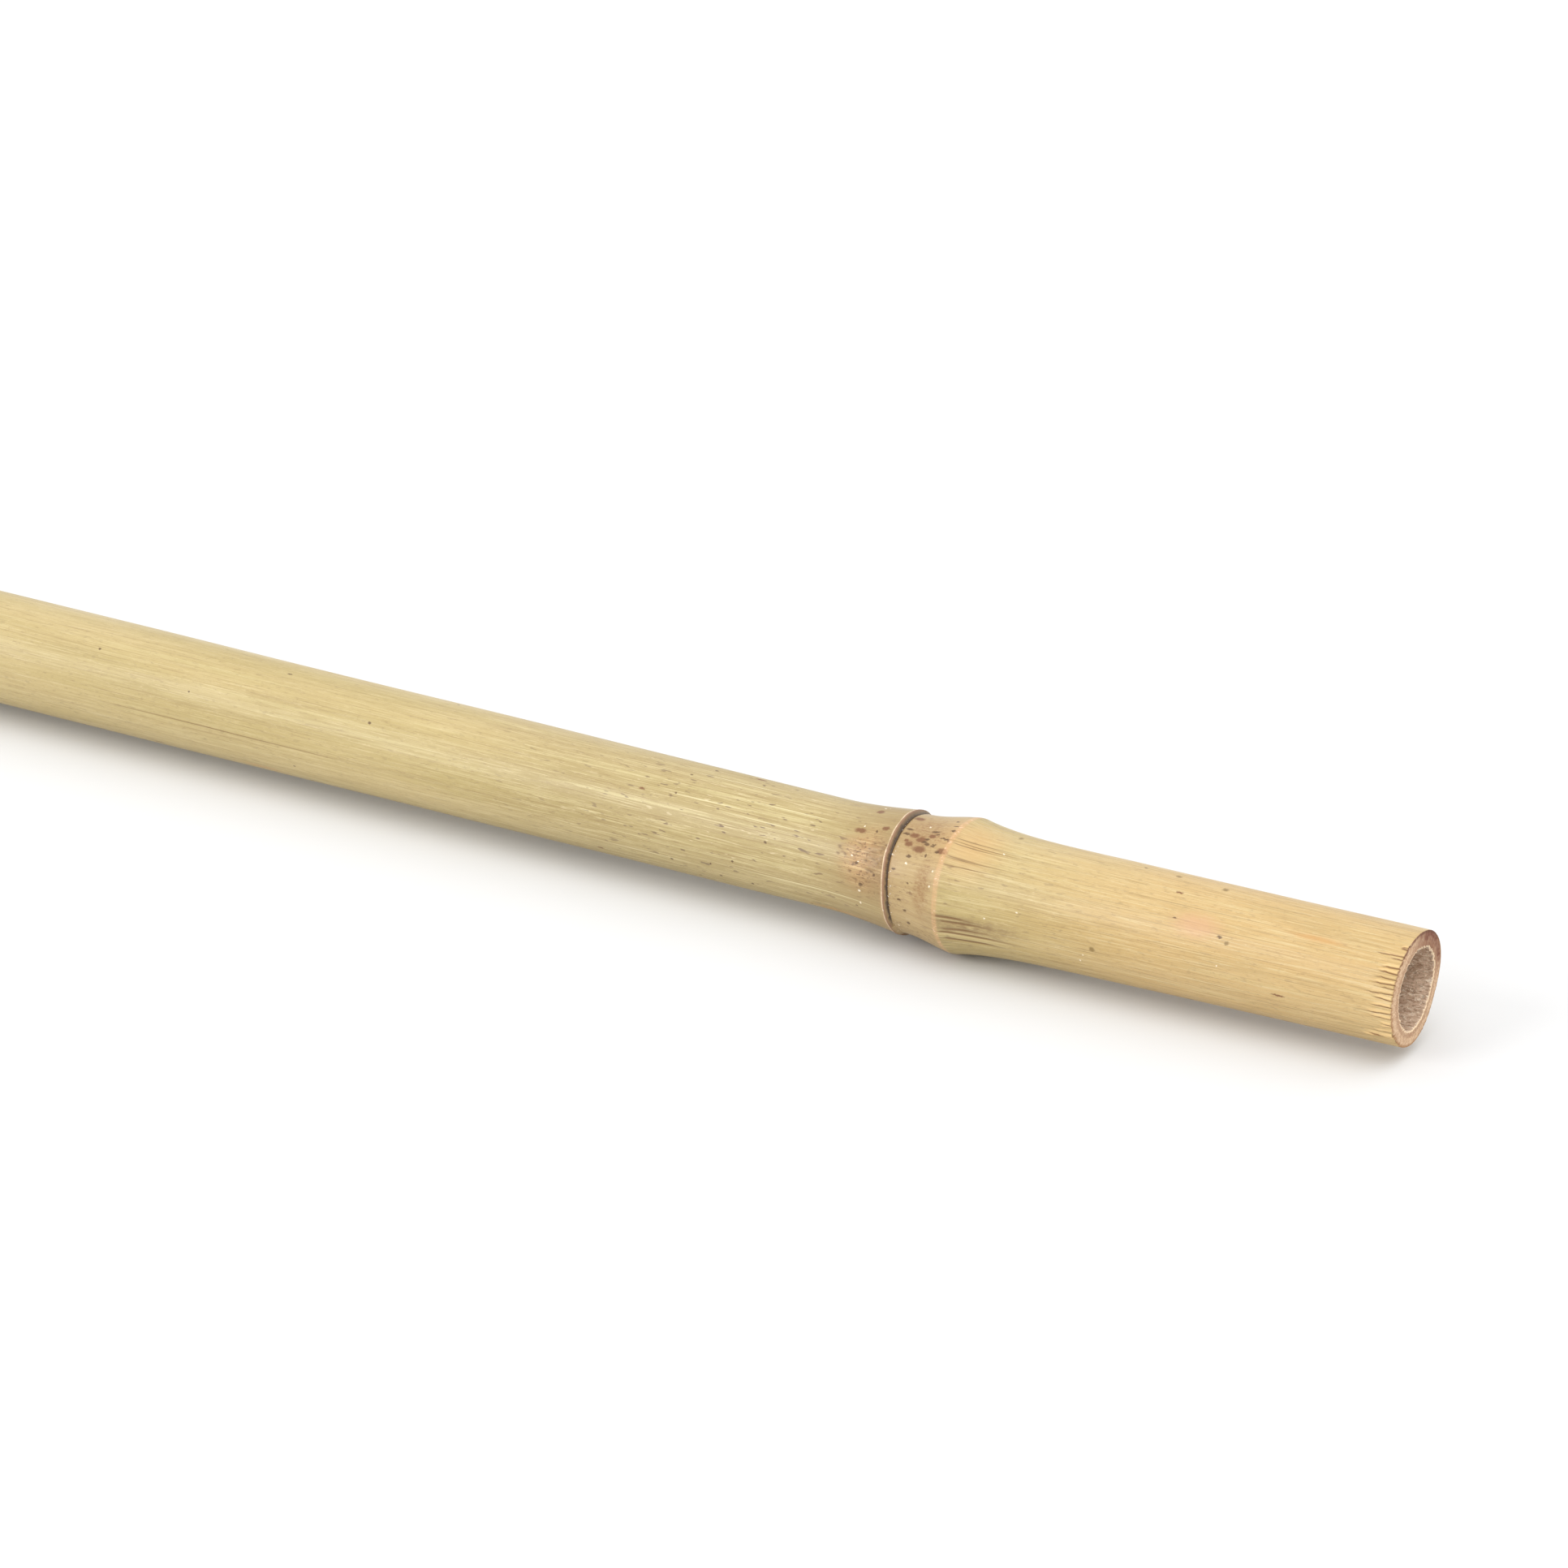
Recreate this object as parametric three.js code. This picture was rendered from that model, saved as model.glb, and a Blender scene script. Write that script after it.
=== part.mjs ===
// A length of bamboo cane, cut square at both ends and lying along X.
// The butt end is at -X and the tip end at +X, so each node's sheath scar is on its -X side.
// It is one culm, grown as one piece: a tube closed across at each node by a woody diaphragm.
// Millimetres, +Z up, with the origin at the middle of the underside.
import * as THREE from "three";

const LENGTH = 600;
const WALL = 3.1;
const SIDES = 24;

// The nodes from butt to tip. crest is the highest ring's place along X, turn is how many degrees
// the cane bends sideways there, and below and above are the radii of the culm on either side of it.
const NODES = [
  { crest: -97, turn: -1, below: 11, above: 11.35 },
  { crest: 209, turn: 1.9, below: 10.55, above: 11.35 },
];
const BUTT_HEADING = 1;
const BUTT_RADIUS = 11.4;
const TIP_RADIUS = 11;
const NODE_REACH = 30;

// How far the skin stands out around a node: [distance past the crest, extra radius].
// The flare ends at the sheath scar's lip, drops behind it, and swells again to the ridge.
const NODE_OUTLINE = [
  [-NODE_REACH, 0],
  [-25, 0.08],
  [-20, 0.43],
  [-16, 0.71],
  [-12.8, 1.17],
  [-12, 0.55],
  [-8, 0.77],
  [-4.8, 1.35],
  [-2, 1.85],
  [0, 1.9],
  [1.6, 1.6],
  [4.8, 1.1],
  [8, 0.75],
  [14, 0.4],
  [22, 0.12],
  [NODE_REACH, 0],
];

// The diaphragm lies between scar and ridge. Its rim is rounded into the wall.
// The pinhole through it keeps the middle internode from being sealed.
const DIAPHRAGM_PLACE = -6;
const DIAPHRAGM_HALF = 1.6;
const DIAPHRAGM_FILLET = 3.5;
const PINHOLE_RADIUS = 1.1;
const FILLET_STEPS = 3;

// The last internode is flattened along the side where a branch once lay.
const FLAT_DEPTH = 0.2;
const FLAT_ANGLE = -33;
const FLAT_WIDTH = 45;
const FLAT_START = 4;

const BEND_REACH = 12;

const half = LENGTH / 2;
const [buttNode, tipNode] = NODES;

// The culm's radius between the nodes, as corners of a line that runs from butt to tip.
const corners = [
  [-half, BUTT_RADIUS],
  ...NODES.flatMap(({ crest, below, above }) => [
    [crest - NODE_REACH, below],
    [crest + NODE_REACH, above],
  ]),
  [half, TIP_RADIUS],
];

function culmRadius(x) {
  const next = Math.max(1, corners.findIndex(([place]) => place >= x));
  const [x0, r0] = corners[next - 1];
  const [x1, r1] = corners[next];
  return THREE.MathUtils.mapLinear(x, x0, x1, r0, r1);
}

// The skin from butt to tip, as points of radius and place along the culm.
function skin() {
  const points = [new THREE.Vector2(BUTT_RADIUS, -half)];
  for (const { crest } of NODES) {
    for (const [offset, extra] of NODE_OUTLINE) {
      const x = crest + offset;
      points.push(new THREE.Vector2(culmRadius(x) + extra, x));
    }
  }
  points.push(new THREE.Vector2(TIP_RADIUS, half));
  return points;
}

// One face of a diaphragm, from the wall in to the pinhole. side is +1 for the face towards the tip.
function diaphragmFace(crest, side) {
  const face = crest + DIAPHRAGM_PLACE + side * DIAPHRAGM_HALF;
  const wall = culmRadius(face) - WALL;
  const points = [];
  for (let i = 0; i <= FILLET_STEPS; i++) {
    const angle = (i / FILLET_STEPS) * (Math.PI / 2);
    const radius = wall - DIAPHRAGM_FILLET * (1 - Math.cos(angle));
    const x = face + side * DIAPHRAGM_FILLET * (1 - Math.sin(angle));
    points.push(new THREE.Vector2(radius, x));
  }
  points.push(new THREE.Vector2(PINHOLE_RADIUS, face));
  return points;
}

// The inside from tip to butt, through every diaphragm.
function bore() {
  const wallAt = (x) => new THREE.Vector2(culmRadius(x) - WALL, x);
  const points = [wallAt(half)];
  for (const { crest } of [...NODES].reverse()) {
    points.push(wallAt(crest + NODE_REACH), wallAt(crest + NODE_REACH / 2));
    points.push(...diaphragmFace(crest, 1));
    points.push(...diaphragmFace(crest, -1).reverse());
    points.push(wallAt(crest - NODE_REACH));
  }
  points.push(wallAt(-half));
  return points;
}

// The middle line's sideways place: straight between nodes, with a short arc at each.
function sideways(x) {
  const slope = (degrees) => Math.tan(THREE.MathUtils.degToRad(degrees));
  let y = slope(BUTT_HEADING) * (x + half);
  for (const { crest, turn } of NODES) {
    const past = x - crest;
    const into = THREE.MathUtils.clamp(past + BEND_REACH, 0, 2 * BEND_REACH);
    y += slope(turn) * (into ** 2 / (4 * BEND_REACH) + Math.max(0, past - BEND_REACH));
  }
  return y;
}

// The middle line's height, which falls a little towards the tip so that the crests of both
// nodes rest on one level surface.
function height(x) {
  const fall = (buttNode.below + buttNode.above - tipNode.below - tipNode.above) / 2;
  return (-fall * (x - buttNode.crest)) / (tipNode.crest - buttNode.crest);
}

// How much of its radius the culm keeps at a place x and an angle about the middle line.
function flattening(x, angle) {
  const along = THREE.MathUtils.smoothstep(x, tipNode.crest + FLAT_START, tipNode.crest + NODE_REACH);
  const turned = THREE.MathUtils.euclideanModulo(angle - FLAT_ANGLE + 180, 360) - 180;
  return 1 - FLAT_DEPTH * along * Math.exp(-((turned / FLAT_WIDTH) ** 2));
}

function caneGeometry() {
  const outline = [...skin(), ...bore()];
  outline.push(outline[0].clone());
  const firstSide = Math.PI / SIDES;
  const geometry = new THREE.LatheGeometry(outline, SIDES, firstSide, 2 * Math.PI);
  geometry.rotateZ(-Math.PI / 2);
  const position = geometry.getAttribute("position");
  for (let i = 0; i < position.count; i++) {
    const x = position.getX(i);
    const y = position.getY(i);
    const z = position.getZ(i);
    const kept = flattening(x, THREE.MathUtils.radToDeg(Math.atan2(z, y)));
    position.setXYZ(i, x, y * kept + sideways(x), z * kept + height(x));
  }
  geometry.computeBoundingBox();
  const { min, max } = geometry.boundingBox;
  geometry.translate(0, -(min.y + max.y) / 2, -min.z);
  geometry.computeVertexNormals();
  return geometry;
}

const bamboo = new THREE.MeshStandardMaterial({ color: "#dcc18d", roughness: 0.55, metalness: 0 });

const cane = new THREE.Mesh(caneGeometry(), bamboo);
cane.name = "bamboo_cane";

const part = new THREE.Group();
part.add(cane);

export default part;
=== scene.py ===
"""The looks of a bamboo cane that lies on a pale floor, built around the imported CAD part.

Shapes are worked out in millimetres along the culm and degrees around it, then put into metres.
Around the culm, 0 degrees faces +Y, 90 faces up, 180 faces -Y and 270 faces down.
"""

import math

import bpy
import numpy as np
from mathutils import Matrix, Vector


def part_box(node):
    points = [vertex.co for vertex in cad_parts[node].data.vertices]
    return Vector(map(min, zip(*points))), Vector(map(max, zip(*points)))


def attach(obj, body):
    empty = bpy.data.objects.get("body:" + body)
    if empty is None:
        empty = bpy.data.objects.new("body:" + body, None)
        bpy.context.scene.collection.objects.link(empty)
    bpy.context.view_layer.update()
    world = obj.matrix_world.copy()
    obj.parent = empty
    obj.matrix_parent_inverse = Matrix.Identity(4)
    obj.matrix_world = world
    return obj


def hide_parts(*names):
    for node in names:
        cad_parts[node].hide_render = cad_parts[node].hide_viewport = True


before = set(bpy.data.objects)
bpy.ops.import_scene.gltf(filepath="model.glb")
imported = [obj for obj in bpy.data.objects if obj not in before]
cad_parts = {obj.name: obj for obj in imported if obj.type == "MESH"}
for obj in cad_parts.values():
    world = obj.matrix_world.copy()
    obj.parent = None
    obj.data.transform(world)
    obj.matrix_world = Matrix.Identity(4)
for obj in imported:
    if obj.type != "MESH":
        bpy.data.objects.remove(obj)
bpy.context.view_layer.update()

low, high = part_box("bamboo_cane")

MM = 0.001
BUTT, TIP = low.x / MM, high.x / MM

# The culm, as the CAD has it.
WALL = 3.1
BUTT_RADIUS = 11.4
TIP_RADIUS = 11.0
BUTT_HEADING = 1.0
NODE_REACH = 30.0
BEND_REACH = 12.0
NODES = [
    {"crest": TIP - 397, "turn": -1.0, "below": 11.0, "above": 11.35},
    {"crest": TIP - 91, "turn": 1.9, "below": 10.55, "above": 11.35},
]
BUTT_NODE, TIP_NODE = NODES
FLAT_DEPTH = 0.2
FLAT_ANGLE = -33.0
FLAT_WIDTH = 45.0
FLAT_START = 4.0
DIAPHRAGM_PLACE = -6.0
DIAPHRAGM_HALF = 1.6
DIAPHRAGM_FILLET = 3.5

# A node's outline, in millimetres from its crest.
SCAR = -12.8
SCAR_LEAN = 0.7
SCAR_NEAREST = 62.0
FLARE_START = -27.0
FLARE = 1.17
LIP_DROP = 0.62
CREST = 1.9
CREST_FADE = 8.5

# How many points a ring has.
COARSE, MEDIUM, FINE = 128, 256, 512


# ---------------------------------------------------------------- small helpers


def smoothstep(value, start, end):
    t = np.clip((value - start) / (end - start), 0, 1)
    return t * t * (3 - 2 * t)


def bell(distance, width):
    return np.exp(-((distance / width) ** 2))


def turned(phi, centre):
    """Degrees from centre to phi, the short way round."""
    return (phi - centre + 180) % 360 - 180


class Waves:
    """Smooth seeded noise over a culm: a sum of waves around it and along it, from about -1 to 1."""

    def __init__(self, seed, around, wavelength, count=10):
        rng = np.random.default_rng(seed)
        self.around = rng.integers(around[0], around[1] + 1, count)
        self.along = 2 * math.pi / rng.uniform(*wavelength, count) * rng.choice([-1, 1], count)
        self.phase = rng.uniform(0, 2 * math.pi, count)
        self.level = math.sqrt(2 / count) / 1.6

    def __call__(self, x, phi):
        total = 0.0
        for around, along, phase in zip(self.around, self.along, self.phase):
            total = total + np.cos(around * np.radians(phi) + along * x + phase)
        return total * self.level


# ---------------------------------------------------------------- the shape of the culm

CORNERS = [(BUTT, BUTT_RADIUS)]
for node in NODES:
    CORNERS.append((node["crest"] - NODE_REACH, node["below"]))
    CORNERS.append((node["crest"] + NODE_REACH, node["above"]))
CORNERS.append((TIP, TIP_RADIUS))


def culm_radius(x):
    places, radii = zip(*CORNERS)
    return np.interp(x, places, radii)


def sideways(x):
    """The middle line's place along Y: straight between the nodes, with a short arc at each."""
    y = math.tan(math.radians(BUTT_HEADING)) * (x - BUTT)
    for node in NODES:
        past = x - node["crest"]
        into = np.clip(past + BEND_REACH, 0, 2 * BEND_REACH)
        slope = math.tan(math.radians(node["turn"]))
        y = y + slope * (into**2 / (4 * BEND_REACH) + np.maximum(0, past - BEND_REACH))
    return y


def height(x):
    """The middle line's place along Z, so that both crests rest on the floor."""
    fall = (BUTT_NODE["below"] + BUTT_NODE["above"] - TIP_NODE["below"] - TIP_NODE["above"]) / 2
    return -fall * (x - BUTT_NODE["crest"]) / (TIP_NODE["crest"] - BUTT_NODE["crest"])


def flattening(x, phi):
    along = smoothstep(x, TIP_NODE["crest"] + FLAT_START, TIP_NODE["crest"] + NODE_REACH)
    return 1 - FLAT_DEPTH * along * bell(turned(phi, FLAT_ANGLE), FLAT_WIDTH)


def node_outline(u):
    """How far the skin stands out at u past a crest: flare, scar lip, drop, and the ridge."""
    flare = FLARE * np.clip((u - FLARE_START) / (SCAR - FLARE_START), 0, 1) ** 1.6
    between = np.clip((u - SCAR - 0.8) / (-SCAR - 0.8), 0, 1) ** 1.15
    hollow = FLARE - LIP_DROP + (CREST - FLARE + LIP_DROP) * smoothstep(between, 0, 1)
    falling = CREST * np.exp(-u.clip(0) / CREST_FADE) * (1 - smoothstep(u, 20, 36))
    return np.where(u < SCAR, flare, np.where(u < 0, hollow, falling))


# Each is seeded, and has its waves around the culm and its wavelengths in millimetres.
LIP_WAVER = Waves(3, (1, 7), (400, 900), 8)
LIP_SIZE = Waves(4, (2, 16), (400, 900), 10)
CREST_SIZE = Waves(5, (1, 6), (60, 200), 8)
LUMPS = Waves(6, (1, 5), (60, 260), 12)
RIPPLES = Waves(7, (4, 14), (25, 120), 14)
FIBRES = Waves(8, (40, 90), (30, 120), 24)
SAW = Waves(11, (1, 4), (500, 900), 5)
SAW_FINE = Waves(12, (20, 90), (500, 900), 24)
BORE_FIBRES = Waves(13, (18, 70), (9, 60), 26)
BORE_LUMPS = Waves(14, (2, 12), (8, 40), 16)
RIM_RAGS = Waves(15, (14, 60), (500, 900), 22)

# The brown blotch before the tip node's scar is eaten into by small pits.
PIT_COUNT = 60
PIT_ZONE = {"x": TIP - 108, "long": 5.5, "phi": 152, "wide": 26}
pit_rng = np.random.default_rng(21)
PITS = [
    {
        "x": PIT_ZONE["x"] + PIT_ZONE["long"] * pit_rng.normal() * 0.55,
        "phi": PIT_ZONE["phi"] + PIT_ZONE["wide"] * pit_rng.normal() * 0.5,
        "long": pit_rng.uniform(0.25, 0.7),
        "wide": pit_rng.uniform(0.2, 0.38),
        "depth": pit_rng.uniform(0.06, 0.2),
    }
    for _ in range(PIT_COUNT)
]


def pits(x, phi):
    """Depth of the pits at a place, in millimetres."""
    depth = np.zeros(np.broadcast(x, phi).shape)
    for pit in PITS:
        around = np.radians(turned(phi, pit["phi"])) * TIP_NODE["below"]
        size = bell((x - pit["x"]) / pit["long"], 1) * bell(around / pit["wide"], 1)
        depth = np.maximum(depth, pit["depth"] * size)
    return depth


# Wrinkles run from a crest towards the tip. Each is (start past the crest, length, degrees where it
# starts, degrees it drifts by, half width in degrees, depth). The deep ones are on the tip node: a
# bundle low on the side that has most of the dirt, and a few lone ones above it.
SMALL_WRINKLES = 64
BUNDLE = {"count": 5, "middle": 195, "spacing": 6}
LONE_WRINKLES = {"count": 6, "around": (110, 180)}


def deep_wrinkles(seed):
    rng = np.random.default_rng(seed)
    made = []
    for i in range(BUNDLE["count"]):
        step = i - (BUNDLE["count"] - 1) / 2 + rng.uniform(-0.2, 0.2)
        phi = BUNDLE["middle"] + BUNDLE["spacing"] * step
        start, length = rng.uniform(-1.0, 0.4), rng.uniform(8, 16)
        made.append((start, length, phi, rng.uniform(-1.5, 3), 1.1, rng.uniform(0.15, 0.26)))
    for _ in range(LONE_WRINKLES["count"]):
        phi = rng.uniform(*LONE_WRINKLES["around"])
        start, length = rng.uniform(-0.8, 0.2), rng.uniform(5, 13)
        made.append((start, length, phi, rng.uniform(-2, 2), 0.8, rng.uniform(0.09, 0.13)))
    return made


def small_wrinkles(seed):
    rng = np.random.default_rng(seed)
    made = []
    for i in range(SMALL_WRINKLES):
        phi = 360 * (i + rng.uniform(-0.4, 0.4)) / SMALL_WRINKLES
        start, length = rng.uniform(-1.0, 0.6), rng.uniform(2.5, 11)
        drift, width = rng.uniform(-1, 1), rng.uniform(0.7, 1.0)
        made.append((start, length, phi, drift, width, rng.uniform(0.03, 0.12)))
    return made


DEEP_WRINKLES = deep_wrinkles(43)
WRINKLES = {
    BUTT_NODE["crest"]: small_wrinkles(41),
    TIP_NODE["crest"]: small_wrinkles(42) + DEEP_WRINKLES,
}


def wrinkles(crest, u, phi):
    """Depth of the shrinkage wrinkles past a node's crest."""
    depth = np.zeros_like(phi)
    for start, length, first, drift, width, deepest in WRINKLES[crest]:
        done = (u - start) / length
        along = smoothstep(done, 0, 0.1) * (1 - smoothstep(done, 0.45, 1))
        middle = first + drift * done + 0.4 * np.sin(6 * done + first)
        depth = np.maximum(depth, deepest * along * bell(turned(phi, middle), width))
    return depth


# ---------------------------------------------------------------- the sawn ends

# The skin is torn along the rim by short splits. Each is (degrees at the rim, length, degrees it
# has drifted by at its far end, how far the skin beside it lifts, how far its edge is chipped back).


def rim_splits(seed, count, start, reach, longest, most_lift, most_chip):
    """Splits drawn around a sawn end's rim, over reach degrees from start."""
    rng = np.random.default_rng(seed)
    made = []
    for i in range(count):
        phi = start + reach * (i + rng.uniform(-0.35, 0.35)) / count
        length, drift = rng.uniform(1.5, longest), rng.uniform(-2, 3)
        lift, chip = rng.uniform(0.06, most_lift), most_chip * rng.uniform() ** 2
        made.append((phi % 360, length, drift, lift, chip))
    return made


TORN_SPLINTER = (210, 7.5, 7, 0.45, 0.55)
TIP_SPLITS = rim_splits(31, 22, 113, 126, 7.5, 0.28, 0.5) + [TORN_SPLINTER]
BUTT_SPLITS = rim_splits(32, 20, 240, 170, 5, 0.22, 0.4)


def fray(depth, phi, splits):
    """Lift and split-line mask of the torn skin, at depth in from the rim."""
    lift = np.zeros_like(phi)
    line = np.zeros_like(phi)
    for rim, length, drift, lifted, _ in splits:
        done = depth / length
        jag = 0.35 * math.sin(2.3 * depth + rim) + 0.25 * math.sin(5.1 * depth + 2 * rim)
        off = turned(phi, rim + drift * done + jag * done)
        inward = 1 - smoothstep(done, 0.45, 1)
        flake = smoothstep(-off, -0.4, 0.4) * (1 - smoothstep(-off, 1.0, 5.0))
        # The lift is also painted paler in the skin material, as light caught by the lifted skin.
        lift = np.maximum(lift, lifted * flake * inward)
        # The split line is cut in, and painted dark in the skin material as the shadow under the lifted
        # skin.
        line = np.maximum(line, bell(off - 0.35, 0.45 + 1.3 * lifted) * inward)
    return lift, line


def chips(phi, splits):
    """How far the skin's edge is broken back from the saw cut."""
    back = np.zeros_like(phi)
    for rim, _, _, _, chip in splits:
        off = turned(phi, rim - 1.8)
        back = np.maximum(back, chip * (1 - smoothstep(np.abs(off), 0.8, 2.2)))
    return back


# ---------------------------------------------------------------- rings of points
# The surface is a stack of closed rings: out of the butt hollow, along the skin, and into the
# tip hollow. Each ring keeps what the materials need to know about its points.

SKIN, CUT, INSIDE = 0, 1, 2
MASKS = ("edge", "lip", "groove", "frill", "rib", "crack", "pit", "flake", "split", "inward")
MIDDLE_ZONE, TIP_ZONE = -64.0, 172.0
EDGE = 0.14
EVEN_RADIUS = 11.0
DEEP = 0.2


def angles(count):
    return np.arange(count) * 360.0 / count


def ring(x, radius, phi, kind, zone, **masks):
    shape = phi.shape
    return {
        "x": np.broadcast_to(x, shape).astype(float),
        "r": np.broadcast_to(radius, shape).astype(float),
        "phi": phi,
        "kind": kind,
        "zone": zone,
        "masks": [np.broadcast_to(masks.get(name, 0.0), shape) for name in MASKS],
    }


def skin_at(x, phi):
    """The skin's radius at a place, with everything that grew, shrank or tore there, and its masks."""
    radius = culm_radius(x) * np.ones_like(phi)
    masks = {name: np.zeros_like(phi) for name in MASKS}
    for node in NODES:
        u = x - node["crest"] - 0.2 * LIP_WAVER(node["crest"], phi)
        lean = SCAR_LEAN * (1 - np.cos(np.radians(phi - SCAR_NEAREST)))
        u = u - lean * np.clip(u / SCAR, 0, 1)
        past_scar = u - SCAR
        crest = 1 + 0.07 * CREST_SIZE(x, phi) + 0.12 * bell(turned(phi, 236), 70)
        uneven = 1 + 0.25 * LIP_SIZE(node["crest"], phi)
        widest = 0.22 + 0.24 * bell(turned(phi, 85), 50)
        found = {
            "edge": bell(past_scar + 0.62, 0.17) * uneven,
            "lip": bell(past_scar + 0.26, 0.24),
            "groove": bell(past_scar - 0.12 - widest / 2, widest),
            "frill": bell(past_scar - 0.8, 0.5),
            "rib": bell(u + 0.8, 0.6),
            "crack": wrinkles(node["crest"], u, phi) / DEEP,
        }
        radius = radius + node_outline(u) * np.where(past_scar > 0, crest, 1)
        radius = radius + 0.06 * found["edge"] + 0.10 * found["lip"] * uneven - 0.24 * found["groove"]
        radius = radius + 0.06 * found["rib"] - DEEP * found["crack"]
        for name, value in found.items():
            masks[name] = np.maximum(masks[name], value)
    masks["pit"] = pits(x, phi) / DEEP
    radius = radius - DEEP * masks["pit"] + 0.05 * LUMPS(x, phi) + 0.025 * RIPPLES(x, phi)
    if len(phi) > COARSE:
        radius = radius + 0.012 * FIBRES(x, phi)
    tip_lift, tip_line = fray(TIP - x, phi, TIP_SPLITS)
    butt_lift, butt_line = fray(x - BUTT, phi, BUTT_SPLITS)
    # The skin material paints shadow along the split lines and light on the lifted skin.
    masks["split"] = np.maximum(tip_line, butt_line)
    masks["flake"] = (tip_lift + butt_lift) / DEEP
    radius = (radius + tip_lift + butt_lift - 0.18 * masks["split"]) * flattening(x, phi)
    return radius, masks


# Stretches of skin from butt to tip: where each starts, the step between its rings, and how many
# points a ring has. They are closest at the sawn ends, the scars and the crests.
STRETCHES = [
    (BUTT + EDGE, 0.5, MEDIUM),
    (BUTT + 8, 4.0, COARSE),
    (BUTT_NODE["crest"] - 30, 1.8, COARSE),
    (BUTT_NODE["crest"] - 14.6, 0.2, COARSE),
    (BUTT_NODE["crest"] - 11.4, 0.9, COARSE),
    (BUTT_NODE["crest"] - 2.2, 0.35, COARSE),
    (BUTT_NODE["crest"] + 2, 1.4, COARSE),
    (BUTT_NODE["crest"] + 24, 4.0, COARSE),
    (TIP_NODE["crest"] - 36, 0.8, MEDIUM),
    (TIP_NODE["crest"] - 14.4, 0.15, MEDIUM),
    (TIP_NODE["crest"] - 11.4, 0.5, MEDIUM),
    (TIP_NODE["crest"] - 2.2, 0.25, MEDIUM),
    (TIP_NODE["crest"] + 2, 0.8, MEDIUM),
    (TIP_NODE["crest"] + 26, 2.4, MEDIUM),
    (TIP - 8, 0.36, FINE),
    (TIP - EDGE, None, FINE),
]


def skin_places():
    for (start, step, count), (end, _, _) in zip(STRETCHES, STRETCHES[1:]):
        steps = max(1, round((end - start) / step))
        for i in range(steps):
            yield start + (end - start) * i / steps, count
    yield STRETCHES[-1][0], STRETCHES[-1][2]


def skin_rings():
    made = []
    for x, count in skin_places():
        phi = angles(count)
        radius, masks = skin_at(x, phi)
        zone = "tip" if x > TIP_ZONE else "middle" if x > MIDDLE_ZONE else "butt"
        made.append(ring(x, radius, phi, SKIN, zone, **masks))
    return made


MOUTH_DEPTHS = (0.25, 0.5, 0.8, 1.1, 1.5, 2, 2.6, 3.2, 4, 5, 6.2, 7.6, 9.2, 11, 13, 15.5, 18.5, 22)
DEEP_STEP = 9.0


def bore_at(x, phi, depth):
    """The bore's radius, with its fibres, and torn shreds just inside the saw cut."""
    radius = (culm_radius(x) - WALL) * flattening(x, phi)
    rough = 0.07 * BORE_FIBRES(x, phi) + 0.06 * BORE_LUMPS(x, phi)
    ragged = 0.26 + 0.34 * bell(turned(phi, 30), 38)
    rags = ragged * np.clip(RIM_RAGS(0, phi), 0, 1) * (1 - smoothstep(depth, 0.2, 1.3))
    return radius + rough - rags


def hollow_rings(end, inward, node, zone, mouth_count):
    """An open end's hollow, from its mouth in to the diaphragm and its middle."""
    made = []
    face = node["crest"] + DIAPHRAGM_PLACE - inward * DIAPHRAGM_HALF
    length = abs(end - face) - DIAPHRAGM_FILLET
    deep_steps = round((length - MOUTH_DEPTHS[-1]) / DEEP_STEP)
    deep = np.linspace(MOUTH_DEPTHS[-1], length, deep_steps + 1)[1:-1]
    for depths, count in ((MOUTH_DEPTHS, mouth_count), (deep, COARSE)):
        for depth in depths:
            x = end + inward * depth
            made.append(ring(x, bore_at(x, angles(count), depth), angles(count), INSIDE, zone))
    phi = angles(COARSE)
    wall = bore_at(face, phi, length)
    for turn in np.linspace(0, math.pi / 2, 7):
        x = face - inward * DIAPHRAGM_FILLET * (1 - math.sin(turn))
        made.append(ring(x, wall - DIAPHRAGM_FILLET * (1 - math.cos(turn)), phi, INSIDE, zone))
    for share in (0.8, 0.6, 0.4, 0.2, 0.07):
        bumps = 0.12 * share * BORE_LUMPS(20 * share, phi)
        x = face + inward * (0.5 * (1 - share) + bumps)
        made.append(ring(x, (wall - DIAPHRAGM_FILLET) * share, phi, INSIDE, zone))
    return made


# The rings of a sawn face, as shares of the way from the skin in to the bore.
FACE_SHARES = (0.0, 0.035, 0.08, 0.16, 0.28, 0.42, 0.56, 0.70, 0.82, 0.91, 0.965, 1.0)


def sawn_rings(end, outward, count, splits, zone):
    """A sawn end's face, from the skin's edge in to the bore's."""
    phi = angles(count)
    outer = skin_at(end - outward * EDGE, phi)[0]
    inner = bore_at(end, phi, 0.0) + 0.08
    broken = chips(phi, splits)
    made = []
    for share in FACE_SHARES:
        radius = outer - EDGE + (inner - outer + EDGE) * share
        level = 0.06 * SAW(0, phi) - 0.06 + 0.03 * SAW_FINE(3 * radius, phi)
        drop = broken * (1 - smoothstep(share, 0.05, 0.2)) + 0.12 * (share == 1.0)
        x = end + outward * (level.clip(None, 0) - drop)
        made.append(ring(x, radius, phi, CUT, zone, inward=share))
    return made


def all_rings():
    butt_face = sawn_rings(BUTT, -1, MEDIUM, BUTT_SPLITS, "butt_face")
    butt_hollow = hollow_rings(BUTT, 1, BUTT_NODE, "butt_hollow", COARSE)
    tip_face = sawn_rings(TIP, 1, FINE, TIP_SPLITS, "tip_face")
    tip_hollow = hollow_rings(TIP, -1, TIP_NODE, "tip_hollow", MEDIUM)
    return butt_hollow[::-1] + butt_face[::-1] + skin_rings() + tip_face + tip_hollow


# ---------------------------------------------------------------- rings into a mesh


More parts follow.
